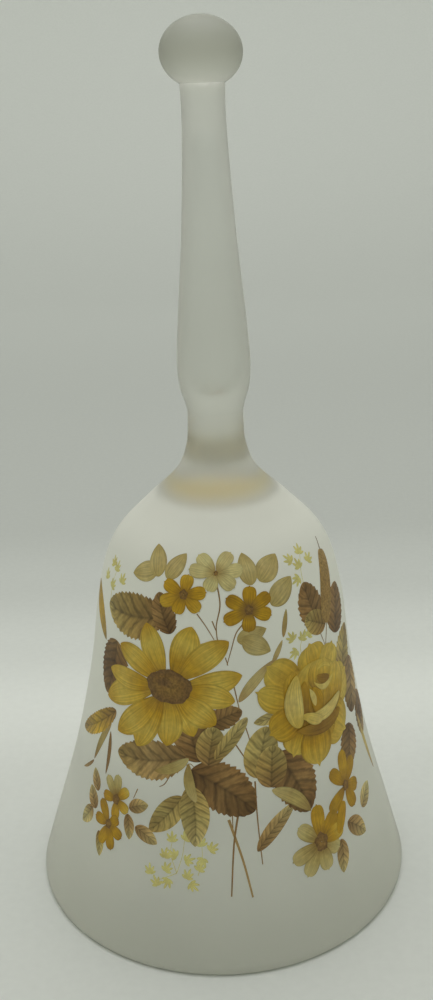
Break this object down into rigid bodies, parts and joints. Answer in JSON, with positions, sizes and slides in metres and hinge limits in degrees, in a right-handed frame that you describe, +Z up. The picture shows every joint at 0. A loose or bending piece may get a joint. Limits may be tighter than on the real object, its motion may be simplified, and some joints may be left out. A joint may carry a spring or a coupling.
{
  "type": "glass hand bell",
  "caption": "Frosted glass hand bell with a flared skirt, slim baluster handle and ball knob, and a chain-hung clapper inside; sprays of printed flowers run round the skirt.",
  "frame": {"origin": "centre of the mouth, on the plane that the bell stands on", "axes": "+Z up along the bell from its mouth to its knob; -Y towards the viewer; +X to the viewer's right, the way that the blown stem bows"},
  "size_m": [0.0825, 0.0826, 0.1792],
  "materials": {
    "frosted_glass": "acid-etched satin, very slightly grey-green",
    "amber_resin": "cured amber adhesive",
    "chain_metal": "plain round wire, lightly dulled",
    "bead_glass": "clear, polished",
    "decal_enamel": "thin fired enamel print in ochre, brown, olive and cream"
  },
  "bodies": {
    "bell": {"bell_shell": "frosted_glass", "handle": "frosted_glass", "knob": "frosted_glass", "cement_plug": "amber_resin", "hanger_eye": "chain_metal"},
    "link_1": {"chain_link_1": "chain_metal"},
    "link_2": {"chain_link_2": "chain_metal"},
    "link_3": {"chain_link_3": "chain_metal"},
    "link_4": {"chain_link_4": "chain_metal"},
    "link_5": {"chain_link_5": "chain_metal"},
    "link_6": {"chain_link_6": "chain_metal"},
    "link_7": {"chain_link_7": "chain_metal"},
    "link_8": {"chain_link_8": "chain_metal"},
    "clapper": {"clapper_bead": "bead_glass", "clapper_pin": "chain_metal"}
  },
  "joints": [
    {"name": "link_1_swing", "type": "hinge", "parent": "bell", "child": "link_1", "pos_m": [0.00103, 0, 0.0824], "axis": [1, 0, 0], "range_deg": [-22, 22]},
    {"name": "link_2_swing", "type": "hinge", "parent": "link_1", "child": "link_2", "pos_m": [0.00103, 0, 0.07565], "axis": [0, 1, 0], "range_deg": [-24, 24]},
    {"name": "link_3_swing", "type": "hinge", "parent": "link_2", "child": "link_3", "pos_m": [0.00103, 0, 0.0689], "axis": [-1, 0, 0], "range_deg": [-28, 28]},
    {"name": "link_4_swing", "type": "hinge", "parent": "link_3", "child": "link_4", "pos_m": [0.00103, 0, 0.06215], "axis": [0, -1, 0], "range_deg": [-31, 31]},
    {"name": "link_5_swing", "type": "hinge", "parent": "link_4", "child": "link_5", "pos_m": [0.00103, 0, 0.0554], "axis": [1, 0, 0], "range_deg": [-38, 38]},
    {"name": "link_6_swing", "type": "hinge", "parent": "link_5", "child": "link_6", "pos_m": [0.00103, 0, 0.04865], "axis": [0, 1, 0], "range_deg": [-47, 47]},
    {"name": "link_7_swing", "type": "hinge", "parent": "link_6", "child": "link_7", "pos_m": [0.00103, 0, 0.0419], "axis": [-1, 0, 0], "range_deg": [-65, 65]},
    {"name": "link_8_swing", "type": "hinge", "parent": "link_7", "child": "link_8", "pos_m": [0.00103, 0, 0.03515], "axis": [0, -1, 0], "range_deg": [-90, 90]},
    {"name": "clapper_swing", "type": "hinge", "parent": "link_8", "child": "clapper", "pos_m": [0.00103, 0, 0.0284], "axis": [1, 0, 0], "range_deg": [-90, 90]}
  ]
}
